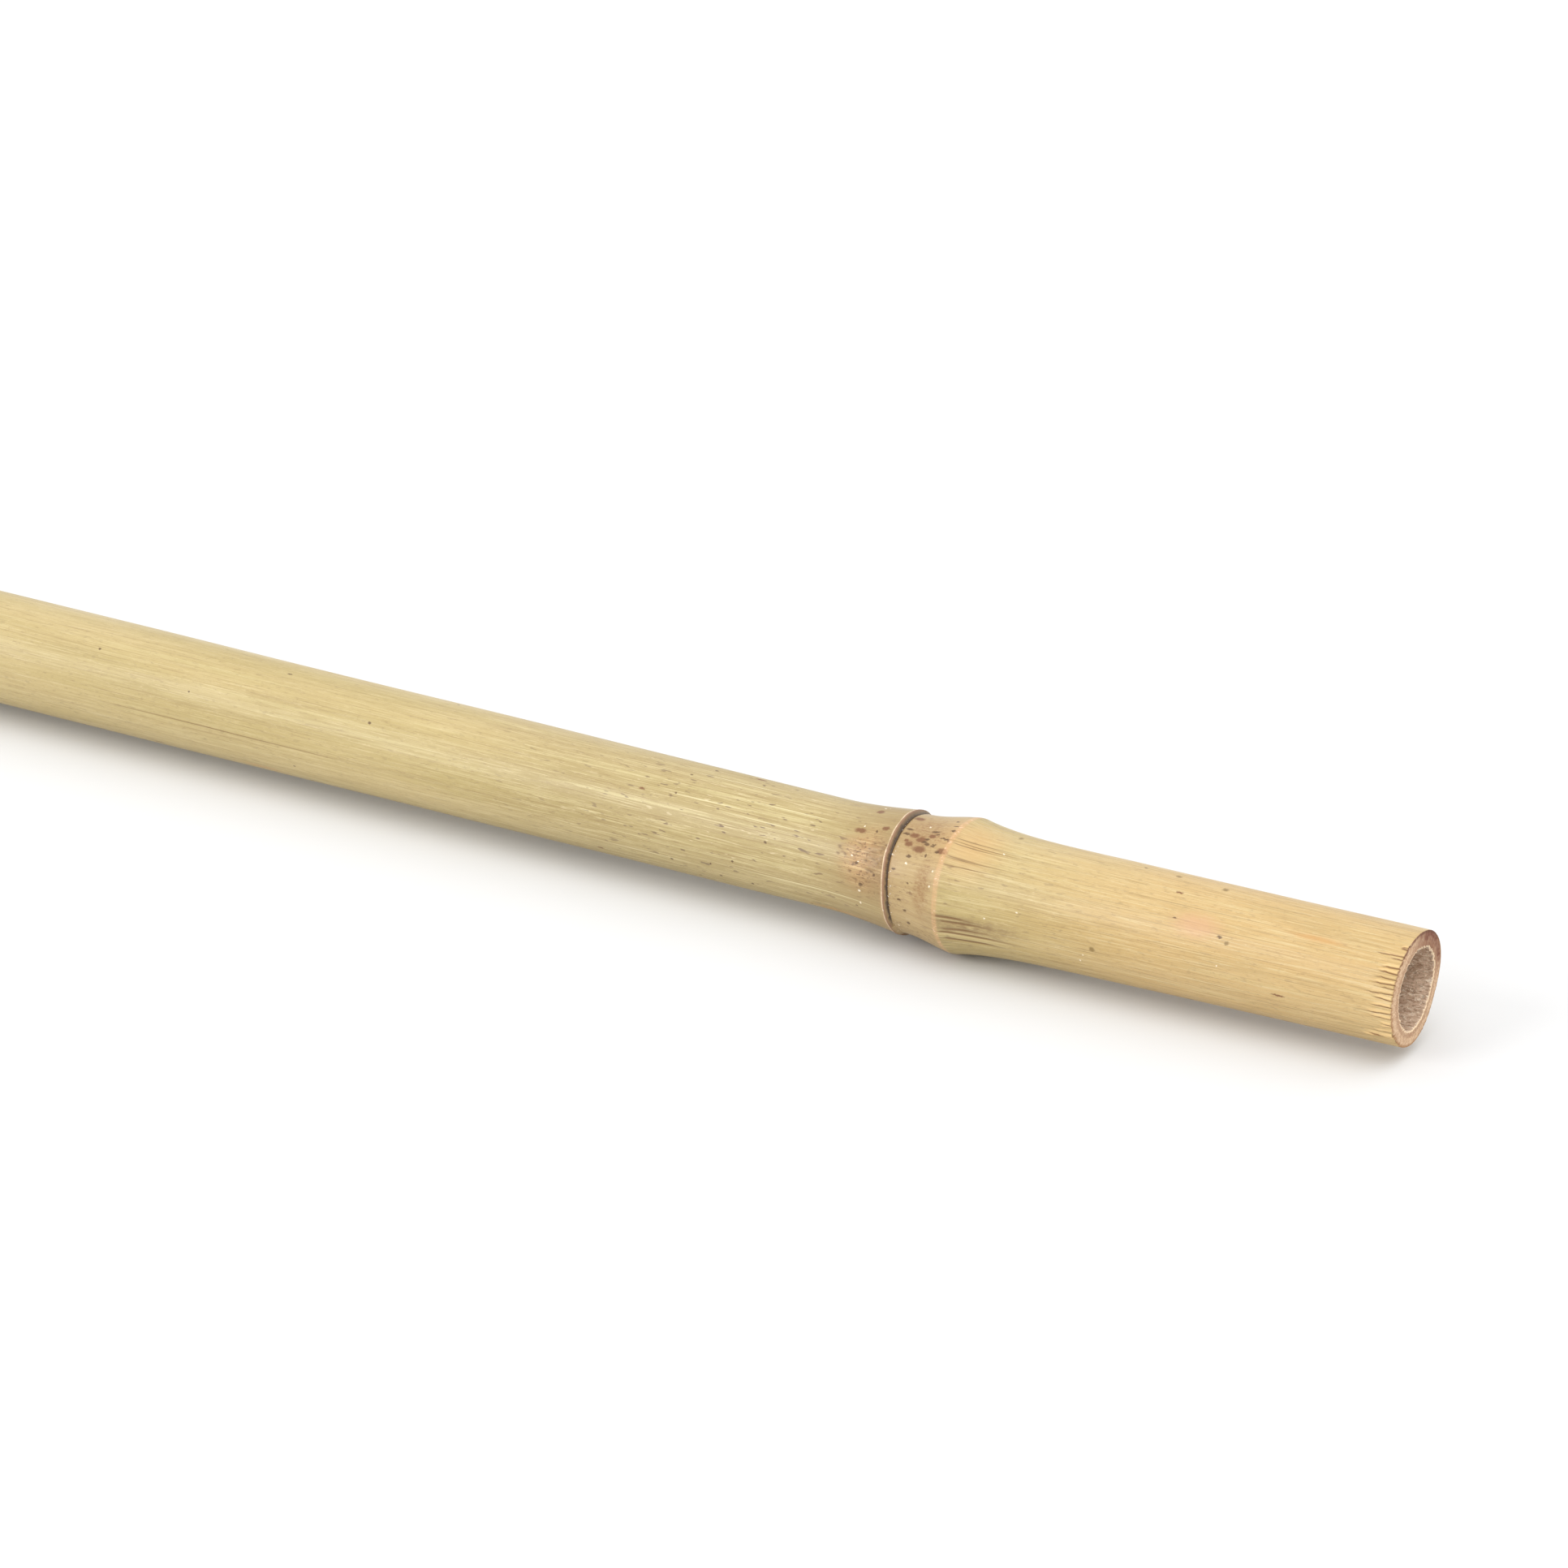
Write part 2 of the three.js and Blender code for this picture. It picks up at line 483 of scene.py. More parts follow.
def band(rows, i):
    """Faces between ring i and the next one, as rows of (ring, step around) corners."""
    n, m = len(rows[i]["phi"]), len(rows[i + 1]["phi"])
    j = np.arange(min(n, m))
    if n == m:
        return [[(i, j), (i, j + 1), (i + 1, j + 1), (i + 1, j)]]
    if m == 2 * n:
        return [
            [(i, j), (i + 1, 2 * j + 1), (i + 1, 2 * j)],
            [(i, j), (i, j + 1), (i + 1, 2 * j + 1)],
            [(i, j + 1), (i + 1, 2 * j + 2), (i + 1, 2 * j + 1)],
        ]
    return [
        [(i, 2 * j), (i, 2 * j + 1), (i + 1, j)],
        [(i, 2 * j + 1), (i + 1, j + 1), (i + 1, j)],
        [(i, 2 * j + 1), (i, 2 * j + 2), (i + 1, j + 1)],
    ]


# Where each zone lies on the baked map: strips for the skin and hollows, discs for the sawn faces.
# A strip is its first and last place along, then its left, right, bottom and top edge on the map.
MAP_LOW, MAP_HIGH = 0.004, 0.996
STRIPS = {
    "butt": (BUTT, MIDDLE_ZONE, MAP_LOW, MAP_HIGH, MAP_LOW, 0.228),
    "middle": (MIDDLE_ZONE, TIP_ZONE, MAP_LOW, MAP_HIGH, 0.236, 0.460),
    "tip": (TIP_ZONE, TIP, MAP_LOW, MAP_HIGH, 0.468, 0.796),
    "tip_hollow": (0, 1, 0.41, 0.72, 0.804, MAP_HIGH),
    "butt_hollow": (0, 1, 0.73, MAP_HIGH, 0.804, MAP_HIGH),
}
SKIN_STRIPS = ("butt", "middle", "tip")
DISCS = {"tip_face": (0.100, 0.900), "butt_face": (0.302, 0.900)}
DISC_SCALE = 0.094 / 12.5
BORE_RADIUS = 8.3


def hollow_share(rows, zone):
    """How far along a hollow each of its rings lies, from 0 at the mouth to 1 in the middle."""
    members = [i for i, row in enumerate(rows) if row["zone"] == zone]
    end = TIP if zone == "tip_hollow" else BUTT
    path = {i: abs(end - rows[i]["x"].mean()) + (BORE_RADIUS - rows[i]["r"].mean()) for i in members}
    longest = max(path.values())
    return {i: max(0.0, length / longest) ** 0.6 for i, length in path.items()}


def map_place(rows, shares, zone, i, phi, at):
    """The baked map's place for a corner on ring i at phi degrees (0 to 360), whose point is at."""
    x, radius = at
    if zone in DISCS:
        u, v = DISCS[zone]
        spread = radius * DISC_SCALE
        return u + spread * np.cos(np.radians(phi)), v + spread * np.sin(np.radians(phi))
    start, end, u0, u1, v0, v1 = STRIPS[zone]
    along = x if zone in SKIN_STRIPS else shares[zone].get(i, 0.0)
    share = np.clip((along - start) / (end - start), 0, 1)
    return u0 + (u1 - u0) * share, v0 + (v1 - v0) * phi / 360


def culm_points(rows):
    """The rings' points as they lie and in the straightened culm, and their masks."""
    x, radius, phi = (np.concatenate([row[key] for row in rows]) for key in ("x", "r", "phi"))
    masks = np.concatenate([np.stack(row["masks"], 1) for row in rows])
    is_skin = np.concatenate([np.full(len(row["phi"]), row["kind"] == SKIN) for row in rows])
    even = np.where(is_skin, EVEN_RADIUS, radius)
    cos, sin = np.cos(np.radians(phi)), np.sin(np.radians(phi))
    points = np.stack([x, radius * cos + sideways(x), radius * sin + height(x)], 1)
    straight = np.stack([x, even * cos, even * sin], 1)
    return points, straight, masks


def side_faces(rows, starts):
    """The faces between neighbouring rings, their corners' places on the map, and their materials."""
    shares = {zone: hollow_share(rows, zone) for zone in ("tip_hollow", "butt_hollow")}
    faces, places, kinds = [], [], []
    for i in range(len(rows) - 1):
        kind = max(rows[i]["kind"], rows[i + 1]["kind"])
        zone = rows[i + 1]["zone"] if rows[i + 1]["kind"] == kind else rows[i]["zone"]
        for corners in band(rows, i):
            index, where = [], []
            for k, j in corners:
                n = len(rows[k]["phi"])
                index.append(starts[k] + j % n)
                at = rows[k]["x"][j % n], rows[k]["r"][j % n]
                u, v = map_place(rows, shares, zone, k, 360.0 * j / n, at)
                where.append(np.stack(np.broadcast_arrays(u, v), -1))
            faces.extend(np.stack(index, 1).tolist())
            places.append(np.stack(where, 1).reshape(-1, 2))
            kinds.append(np.full(len(index[0]), kind))
    return faces, places, kinds


def cap_faces(count, start, middle, zone, is_first):
    """A fan that closes a hollow's last ring onto its middle point, and its places on the map."""
    j = np.arange(count)
    here, after = start + j, start + (j + 1) % count
    if is_first:
        here, after = after, here
    faces = np.stack([here, after, np.full(count, middle)], 1).tolist()
    _, _, _, u1, v0, v1 = STRIPS[zone]
    steps = (j + is_first, j + (not is_first), j + 0.5)
    insets = (MAP_LOW, MAP_LOW, 0.0)
    where = [
        np.stack([np.full(count, u1 - inset), v0 + (v1 - v0) * (360.0 * step / count) / 360], 1)
        for inset, step in zip(insets, steps)
    ]
    return faces, np.stack(where, 1).reshape(-1, 2)


def culm_mesh(points, faces, kinds, places, straight, masks):
    mesh = bpy.data.meshes.new("cane_culm")
    mesh.from_pydata(points * MM, [], faces)
    mesh.polygons.foreach_set("material_index", np.concatenate(kinds).astype(np.int32))
    mesh.polygons.foreach_set("use_smooth", np.ones(len(faces), bool))
    layer = mesh.uv_layers.new(name="OFBake")
    layer.data.foreach_set("uv", np.concatenate(places).astype(np.float32).ravel())
    attribute = mesh.attributes.new("straight", "FLOAT_VECTOR", "POINT")
    attribute.data.foreach_set("vector", straight.astype(np.float32).ravel())
    for k, name in enumerate(MASKS):
        attribute = mesh.attributes.new(name, "FLOAT", "POINT")
        attribute.data.foreach_set("value", masks[:, k].astype(np.float32))
    mesh.validate(clean_customdata=False)
    return mesh


def build_culm():
    rows = all_rings()
    starts = np.cumsum([0] + [len(row["phi"]) for row in rows])
    points, straight, masks = culm_points(rows)
    faces, places, kinds = side_faces(rows, starts)
    for i, zone in ((0, "butt_hollow"), (len(rows) - 1, "tip_hollow")):
        count = len(rows[i]["phi"])
        fan, where = cap_faces(count, starts[i], len(points), zone, i == 0)
        faces.extend(fan)
        places.append(where)
        kinds.append(np.full(count, INSIDE))
        middle = points[starts[i] : starts[i + 1]].mean(0)
        points = np.vstack([points, middle])
        straight = np.vstack([straight, [middle[0], 0, 0]])
        masks = np.vstack([masks, np.zeros(len(MASKS))])

    # The culm lies on the floor, in the middle of the CAD's width.
    points[:, 1] += (low.y + high.y) / 2 / MM - (points[:, 1].min() + points[:, 1].max()) / 2
    points[:, 2] += low.z / MM - points[:, 2].min()
    culm = bpy.data.objects.new("cane_culm", culm_mesh(points, faces, kinds, places, straight, masks))
    bpy.context.scene.collection.objects.link(culm)
    return culm


# ---------------------------------------------------------------- materials
# Every material works in the straightened culm's own millimetres, from the vertex attribute
# "straight": x along the culm, y and z around it.


def srgb(red, green, blue):
    """A colour as it looks on a screen, from 0 to 255, as linear light for a shader."""
    parts = [c / 255 for c in (red, green, blue)]
    return (*[c / 12.92 if c <= 0.04045 else ((c + 0.055) / 1.055) ** 2.4 for c in parts], 1.0)


class Graph:
    """A material's node tree, built by calls that hand back sockets."""

    def __init__(self, name):
        self.material = bpy.data.materials.new(name)
        self.material.use_nodes = True
        self.tree = self.material.node_tree
        self.shader = self.tree.nodes["Principled BSDF"]

    def node(self, kind, inputs, output=0, **settings):
        node = self.tree.nodes.new(kind)
        for key, value in settings.items():
            setattr(node, key, value)
        for key, value in inputs.items():
            self.feed(node.inputs[key], value)
        return node.outputs[output]

    def feed(self, socket, value):
        if isinstance(value, bpy.types.NodeSocket):
            self.tree.links.new(value, socket)
        else:
            socket.default_value = value

    def mask(self, name):
        return self.node("ShaderNodeAttribute", {}, "Fac", attribute_name=name)

    def straight(self):
        return self.node("ShaderNodeAttribute", {}, "Vector", attribute_name="straight")

    def along(self, place):
        return self.node("ShaderNodeSeparateXYZ", {0: place}, "X")

    def math(self, operation, a, b=0.0, clamp=False):
        return self.node("ShaderNodeMath", {0: a, 1: b}, operation=operation, use_clamp=clamp)

    def times(self, *values):
        total = values[0]
        for value in values[1:]:
            total = self.math("MULTIPLY", total, value)
        return total

    def stretched(self, place, along, around):
        size = (along, around, around)
        return self.node("ShaderNodeVectorMath", {0: place, 1: size}, operation="MULTIPLY")

    def noise(self, place, along, around, detail=3.0, roughness=0.55, distortion=0.0):
        """Noise from 0 to 1, with so many lumps a millimetre along the culm and around it."""
        inputs = {"Vector": self.stretched(place, along, around), "Scale": 1.0, "Detail": detail}
        inputs["Roughness"] = roughness
        inputs["Distortion"] = distortion
        return self.node("ShaderNodeTexNoise", inputs)

    def ramp(self, value, start, end, low=0.0, high=1.0):
        """A smooth change from low to high while value goes from start to end."""
        inputs = {"Value": value, "From Min": start, "From Max": end, "To Min": low, "To Max": high}
        return self.node("ShaderNodeMapRange", inputs, interpolation_type="SMOOTHSTEP")

    def mix(self, amount, a, b, blend="MIX"):
        node = self.tree.nodes.new("ShaderNodeMix")
        node.data_type = "RGBA"
        node.blend_type = blend
        self.feed(node.inputs["Factor"], amount)
        self.feed(node.inputs[6], a)
        self.feed(node.inputs[7], b)
        return node.outputs[2]

    def warped(self, place, lumps, amount):
        """The place, moved about by noise, so that marks drawn on it have ragged outlines."""
        shove = self.node("ShaderNodeTexNoise", {"Vector": place, "Scale": lumps, "Detail": 2.0}, "Color")
        shove = self.node("ShaderNodeVectorMath", {0: shove, 1: (0.5,) * 3}, operation="SUBTRACT")
        shove = self.node("ShaderNodeVectorMath", {0: shove, 1: (amount,) * 3}, operation="MULTIPLY")
        return self.node("ShaderNodeVectorMath", {0: place, 1: shove}, operation="ADD")

    def layered(self, colour, layers):
        """The colour with each (amount, tint) laid over it in turn."""
        for amount, tint in layers:
            colour = self.mix(amount, colour, tint)
        return colour

    def marks(self, place, marks, soft=0.5):
        """Where the marks are, from 0 to 1."""
        x = self.along(place)
        nearest = 10.0
        for past_tip, phi, half_length, half_width, *lean in marks:
            cos, sin = math.cos(math.radians(phi)), math.sin(math.radians(phi))
            centre = Vector((TIP + past_tip, EVEN_RADIUS * cos, EVEN_RADIUS * sin))
            size = Vector((1 / half_length, 1 / half_width, 1 / half_width))
            offset = -centre * size
            if lean:
                around = math.radians(lean[0]) * EVEN_RADIUS * Vector((0, -sin, cos)) * size
                inputs = {0: x, 1: -around, 2: offset + around * centre.x}
                offset = self.node("ShaderNodeVectorMath", inputs, operation="MULTIPLY_ADD")
            inputs = {0: place, 1: size, 2: offset}
            scaled = self.node("ShaderNodeVectorMath", inputs, operation="MULTIPLY_ADD")
            length = self.node("ShaderNodeVectorMath", {0: scaled}, "Value", operation="LENGTH")
            nearest = self.math("MINIMUM", nearest, length)
        return self.ramp(nearest, 1.0 + soft, 1.0 - soft)

    def bump(self, height, millimetres):
        """A bump of the given depth where the height goes from 0 to 1."""
        inputs = {"Height": height, "Distance": millimetres * MM, "Strength": 1.0}
        self.feed(self.shader.inputs["Normal"], self.node("ShaderNodeBump", inputs))


# ---------------------------------------------------------------- the skin's marks
# Each mark is (millimetres past the tip end, degrees, half its length, half its width), and the
# leaning ones also say how many degrees around they drift by for each millimetre along. They are
# strewn by seeded draws, thickest around the tip node and on one side of it.

WHOLE = (BUTT - TIP, -12)
BEFORE_NODE = (-160, -112)
AT_NODE = (-112, -92)
BEFORE_SCAR = (-116, -106)
SCAR_TO_RIDGE = (-102, -92)
PAST_NODE = (-90, -30)
ALL_ROUND = (0, 360)
DIRTY_SIDE = (80, 215)
UPPER_SIDE = (85, 130)


def strewn(seed, count, past_tip, around, length, width):
    """Marks drawn over a stretch of the culm and a range of angles around it."""
    rng = np.random.default_rng(seed)
    made = []
    for _ in range(count):
        place = rng.uniform(*past_tip), rng.uniform(*around)
        made.append((*place, rng.uniform(*length), rng.uniform(*width)))
    return made


def wrinkle_lines(node, wrinkles, half_width):
    """A dark line along the bottom of each of a node's wrinkles."""
    made = []
    for start, length, phi, drift, _, _ in wrinkles:
        middle = node["crest"] - TIP + start + length / 2
        made.append((middle, phi + drift / 2, 0.55 * length, half_width, drift / length))
    return made


BROWN_STAINS = strewn(51, 12, WHOLE, ALL_ROUND, (0.5, 1.4), (0.2, 0.4))
BROWN_STAINS += strewn(61, 8, SCAR_TO_RIDGE, UPPER_SIDE, (0.5, 1.3), (0.3, 0.65))
BROWN_STAINS += strewn(68, 3, BEFORE_SCAR, UPPER_SIDE, (0.6, 1.5), (0.3, 0.7))
DARK_SPOTS = strewn(52, 36, WHOLE, ALL_ROUND, (0.2, 0.5), (0.15, 0.3))
DARK_SPOTS += strewn(62, 20, AT_NODE, DIRTY_SIDE, (0.2, 0.6), (0.15, 0.35))
DARK_SPOTS += strewn(69, 9, SCAR_TO_RIDGE, UPPER_SIDE, (0.3, 0.9), (0.15, 0.3))
DARK_SPOTS += strewn(63, 10, BEFORE_NODE, DIRTY_SIDE, (0.25, 0.35), (0.2, 0.3))
OLIVE_SPOTS = strewn(64, 5, PAST_NODE, DIRTY_SIDE, (0.4, 0.6), (0.25, 0.6))
GREY_SMUDGES = strewn(54, 10, WHOLE, ALL_ROUND, (1.2, 4), (0.8, 1.8))
LIGHT_DOTS = strewn(65, 14, AT_NODE, DIRTY_SIDE, (0.15, 0.3), (0.14, 0.2))
LIGHT_DOTS += strewn(66, 6, PAST_NODE, DIRTY_SIDE, (0.15, 0.25), (0.14, 0.2))
LIGHT_STREAKS = strewn(67, 6, BEFORE_NODE, DIRTY_SIDE, (6, 14), (0.1, 0.14))
ORANGE_STREAKS = strewn(53, 10, WHOLE, ALL_ROUND, (4, 9), (0.3, 0.6))
DARK_HAIRLINES = strewn(55, 10, WHOLE, ALL_ROUND, (8, 25), (0.1, 0.16))
DARK_HAIRLINES += wrinkle_lines(TIP_NODE, DEEP_WRINKLES[: BUNDLE["count"]], 0.22)
DARK_HAIRLINES += wrinkle_lines(TIP_NODE, DEEP_WRINKLES[BUNDLE["count"] :], 0.1)

# Wide regions of the skin, each as marks of its own.
# The pale reach is where pale streaks are strongest and where the scratch glints are painted.
PALE_REACH = [(-150, 150, 55, 10)]
DIRTY_REACH = [(-130, 150, 40, 13)]
BLOTCH = [(-108, 150, 5, 5)]
RIDGE_SHADE = [(-95, 165, 1.5, 4.5)]
TOP_SHADE = [(-98, 110, 4.5, 4)]
SCAR_SHADE = [(-105, 150, 2.5, 5)]
# Painted shadow: a darker band around the bundle of deep wrinkles.
WRINKLE_SHADE = [(-84, 190, 8.5, 1.5)]
WARM_PATCH = [(-88, 115, 5, 5)]
PINK_PATCH = [(-40, 140, 4, 2)]

# Noises of the skin: lumps a millimetre along the culm and around it, detail, and roughness.
SKIN_NOISES = {
    "broad": (0.011, 0.11, 2.0, 0.55),
    "patch": (0.03, 0.2, 4.0, 0.6),
    "streak": (0.016, 1.1, 3.0, 0.6),
    "fine": (0.05, 4.2, 3.0, 0.65),
    "hair": (0.11, 9.0, 2.0, 0.6),
    "strand": (0.07, 5.0, 2.0, 0.5),
    "grit": (0.6, 2.2, 4.0, 0.75),
    "dust": (1.3, 2.6, 3.0, 0.7),
    "scratch_glint": (0.12, 5.5, 1.0, 0.5),
    "fleck": (0.42, 1.5, 1.0, 0.5),
}

# The skin's tints. What lies along it in streaks and fibres has a dark and a pale one.
GREEN, DEEP_GREEN = srgb(187, 167, 117), srgb(174, 155, 101)
WARM, DEEP_WARM = srgb(195, 165, 112), srgb(189, 157, 101)
DULL = srgb(160, 141, 96)
PATCH = srgb(160, 140, 95)
DARK_STREAK, PALE_STREAK = srgb(146, 124, 79), srgb(206, 193, 142)
# Tint of the scratches, painted bright as glints.
SCRATCH_GLINT = srgb(222, 208, 162)
DARK_FINE, PALE_HAIR = srgb(137, 110, 70), srgb(214, 198, 156)
DARK_STRAND, PALE_STRAND = srgb(143, 117, 74), srgb(212, 195, 149)
DARK_GRIT, PALE_GRIT = srgb(135, 109, 74), srgb(214, 195, 152)
DARK_FLECK, PALE_FLECK = srgb(117, 95, 70), srgb(214, 197, 158)
BEFORE_SCAR_TINT = srgb(150, 124, 81)
PAST_SCAR_TINT = srgb(171, 138, 97)
SMUT = srgb(117, 87, 56)
BLOTCH_BROWN, BLOTCH_FIBRE, BLOTCH_DIRT = srgb(171, 128, 84), srgb(214, 185, 134), srgb(106, 81, 53)
NODE_SHADE = srgb(144, 107, 66)
# Grey tint, also used for the painted shadow around the deep wrinkles.
GREY_SHADE = srgb(131, 104, 68)
RIDGE_FLECK = srgb(232, 202, 172)
WHITE_FRILL = srgb(244, 234, 216)


def ground_colour(graph, x, noise):
    """Greener before the tip node, warmer past it, and duller on the way to its scar."""
    deep = graph.ramp(noise["broad"], 0.35, 0.68)
    green = graph.mix(deep, GREEN, DEEP_GREEN)
    warm = graph.mix(deep, WARM, DEEP_WARM)
    dull = graph.times(graph.ramp(x, TIP - 210, TIP - 170), graph.ramp(x, TIP - 96, TIP - 103))
    return graph.layered(green, [
        (graph.ramp(x, TIP - 97, TIP - 40), warm),
        (graph.times(dull, 0.5), DULL),
        (graph.ramp(noise["patch"], 0.5, 0.78, 0, 0.4), PATCH),
    ])


def with_fibres(graph, colour, places, x, noise):
    """Streaks, fibres and scratches with painted glints along the culm, and grit across them."""
    pale = graph.math("ADD", graph.times(graph.marks(places["true"], PALE_REACH, 0.9), 0.4), 0.2)
    # Painted highlight: thin scratches in the pale reach are laid on as bright glints.
    scratch_glints = graph.ramp(noise["scratch_glint"], 0.64, 0.68, 0, 0.55)
    stringy = graph.ramp(x, TIP - 240, TIP - 150, 0.22, 0.42)
    return graph.layered(colour, [
        (graph.ramp(noise["streak"], 0.56, 0.76, 0, 0.34), DARK_STREAK),
        (graph.times(graph.ramp(noise["streak"], 0.46, 0.3), pale), PALE_STREAK),
        (graph.times(scratch_glints, graph.marks(places["ragged"], PALE_REACH, 0.9)), SCRATCH_GLINT),
        (graph.ramp(noise["fine"], 0.5, 0.74, 0, 0.46), DARK_FINE),
        (graph.ramp(noise["hair"], 0.52, 0.76, 0, 0.5), PALE_HAIR),
        (graph.times(graph.ramp(noise["strand"], 0.58, 0.66), stringy), DARK_STRAND),
        (graph.times(graph.ramp(noise["strand"], 0.42, 0.34), stringy), PALE_STRAND),
        (graph.ramp(noise["grit"], 0.54, 0.72, 0, 0.42), DARK_GRIT),
        (graph.ramp(noise["grit"], 0.44, 0.28, 0, 0.3), PALE_GRIT),
    ])


def with_flecks(graph, colour, places, noise):
    """Flecks all over, thickest on the side that faces the tip node's scar."""
    dirty = graph.math("ADD", graph.times(graph.marks(places["true"], DIRTY_REACH, 0.9), 0.75), 0.18)
    return graph.layered(colour, [
        (graph.times(graph.ramp(noise["fleck"], 0.66, 0.74), dirty), DARK_FLECK),
        (graph.times(graph.ramp(noise["fleck"], 0.3, 0.24, 0, 0.6), dirty), PALE_FLECK),
    ])


def with_node_dirt(graph, colour, x, noise):
    """Each node: browner before its scar and between scar and ridge, with speckled dirt there."""
    span = TIP_NODE["crest"] - BUTT_NODE["crest"]
    nearer_tip = graph.math("GREATER_THAN", x, BUTT_NODE["crest"] + span / 2)
    crest = graph.math("ADD", graph.times(nearer_tip, span), BUTT_NODE["crest"])
    past_crest = graph.math("SUBTRACT", x, crest)
    before = graph.times(graph.ramp(past_crest, -34, -15), graph.ramp(past_crest, -11, -13))
    after = graph.times(graph.ramp(past_crest, -13.4, -12.2), graph.ramp(past_crest, 0.5, -1.5))
    around = graph.times(graph.ramp(past_crest, -19, -9), graph.ramp(past_crest, 1.5, -4))
    smutty = graph.times(around, graph.ramp(noise["patch"], 0.42, 0.6))
    return graph.layered(colour, [
        (graph.times(before, graph.ramp(noise["patch"], 0.3, 0.7, 0.4, 0.85)), BEFORE_SCAR_TINT),
        (graph.times(after, 0.5), PAST_SCAR_TINT),
        (graph.times(smutty, graph.ramp(noise["dust"], 0.52, 0.64), 0.6), SMUT),
    ])


def with_shades(graph, colour, places, noise):
    """The blotch before the tip node's scar, shaded regions around that node, and painted wrinkle shadow.
    """
    ragged = places["ragged"]
    blotch = graph.marks(ragged, BLOTCH, 0.6)
    top = graph.marks(ragged, TOP_SHADE, 0.7)
    brown = graph.math("MAXIMUM", graph.marks(ragged, RIDGE_SHADE, 0.6), top)
    # Painted shadow: the band around the deep wrinkles is darkened with the grey tint.
    wrinkle_shadow = graph.marks(places["rough"], WRINKLE_SHADE, 0.7)
    grey = graph.math("MAXIMUM", graph.marks(ragged, SCAR_SHADE, 0.7), wrinkle_shadow)
    return graph.layered(colour, [
        (graph.times(blotch, graph.ramp(noise["dust"], 0.3, 0.6, 0.3, 0.8)), BLOTCH_BROWN),
        (graph.times(blotch, graph.ramp(noise["fine"], 0.52, 0.6, 0, 0.6)), BLOTCH_FIBRE),
        (graph.times(blotch, graph.ramp(noise["dust"], 0.57, 0.62, 0, 0.85)), BLOTCH_DIRT),
        (graph.times(brown, graph.ramp(noise["dust"], 0.35, 0.65, 0.25, 0.8)), NODE_SHADE),
        (graph.times(grey, graph.ramp(noise["grit"], 0.35, 0.6, 0.25, 0.7)), GREY_SHADE),
    ])


# The skin's marks, in the order they are laid: what they are, their tint, how strong and how soft
# they are, and on which place they are drawn.
MARK_LAYERS = (
    (WARM_PATCH, srgb(203, 157, 100), 0.45, 0.9, "ragged"),
    (PINK_PATCH, srgb(198, 153, 116), 0.6, 0.7, "ragged"),
    (GREY_SMUDGES, srgb(137, 126, 106), 0.55, 0.8, "ragged"),
    (ORANGE_STREAKS, srgb(189, 135, 72), 0.5, 0.8, "rough"),
    (LIGHT_STREAKS, srgb(218, 206, 161), 0.7, 0.6, "true"),
    (OLIVE_SPOTS, srgb(123, 97, 47), 0.8, 0.5, "rough"),
    (BROWN_STAINS, srgb(114, 70, 38), 0.85, 0.4, "rough"),
    (DARK_HAIRLINES, srgb(119, 91, 51), 0.7, 0.7, "true"),
    (DARK_SPOTS, srgb(84, 56, 28), 0.85, 0.4, "rough"),
    (LIGHT_DOTS, srgb(237, 223, 199), 0.9, 0.5, "rough"),
)


def with_marks(graph, colour, places):
    return graph.layered(colour, [
        (graph.times(graph.marks(places[place], marks, soft), amount), tint)
        for marks, tint, amount, soft, place in MARK_LAYERS
    ])


def with_grown_parts(graph, colour, noise):
    """What the mesh has masks for: ridge, wrinkles, pits, torn rim, and the scar's lip and groove."""
    broken = graph.ramp(noise["dust"], 0.36, 0.56, 0.45, 1.0)
    gappy = graph.ramp(noise["dust"], 0.3, 0.5, 0.75, 1.0)
    for name, tint, amount in (
        ("rib", srgb(206, 160, 114), graph.times(broken, 0.55)),
        ("crack", srgb(122, 88, 50), 0.7),
        ("pit", srgb(96, 68, 36), 0.6),
        # Painted light: the lifted skin at the torn rims is paler, as if it caught the light.
        ("flake", srgb(226, 190, 132), 0.55),
        # Painted shadow: a dark line along each split, under the lifted skin.
        ("split", srgb(120, 78, 36), 0.85),
        ("edge", srgb(226, 200, 168), graph.times(broken, 0.85)),
        ("lip", srgb(140, 102, 76), 0.85),
        ("groove", srgb(66, 48, 35), graph.times(gappy, 0.95)),
    ):
        amount = graph.times(graph.ramp(graph.mask(name), 0.15, 0.8), amount)
        colour = graph.mix(amount, colour, tint)
    flecked = graph.ramp(noise["dust"], 0.57, 0.63, 0, 0.6)
    frill = graph.times(graph.ramp(graph.mask("frill"), 0.2, 0.7), graph.ramp(noise["dust"], 0.60, 0.66))
    return graph.layered(colour, [
        (graph.times(graph.ramp(graph.mask("rib"), 0.3, 0.8), flecked), RIDGE_FLECK),
        (graph.times(frill, 0.85), WHITE_FRILL),
    ])


def skin_material():
    graph = Graph("bamboo_skin")
    place = graph.straight()
    x = graph.along(place)
    places = {
        "true": place,
        "ragged": graph.warped(place, 0.9, 1.3),
        "rough": graph.warped(place, 1.8, 0.55),
    }
    noise = {name: graph.noise(place, *size) for name, size in SKIN_NOISES.items()}

    colour = ground_colour(graph, x, noise)
    colour = with_fibres(graph, colour, places, x, noise)
    colour = with_flecks(graph, colour, places, noise)
    colour = with_node_dirt(graph, colour, x, noise)
    colour = with_shades(graph, colour, places, noise)
    colour = with_marks(graph, colour, places)
    colour = with_grown_parts(graph, colour, noise)

    graph.feed(graph.shader.inputs["Base Color"], colour)
    graph.feed(graph.shader.inputs["Roughness"], graph.ramp(noise["patch"], 0.3, 0.8, 0.36, 0.5))
    grain = graph.math("ADD", graph.times(noise["fine"], 0.5), graph.times(noise["grit"], 0.5))
    graph.bump(grain, 0.05)
    return graph.material


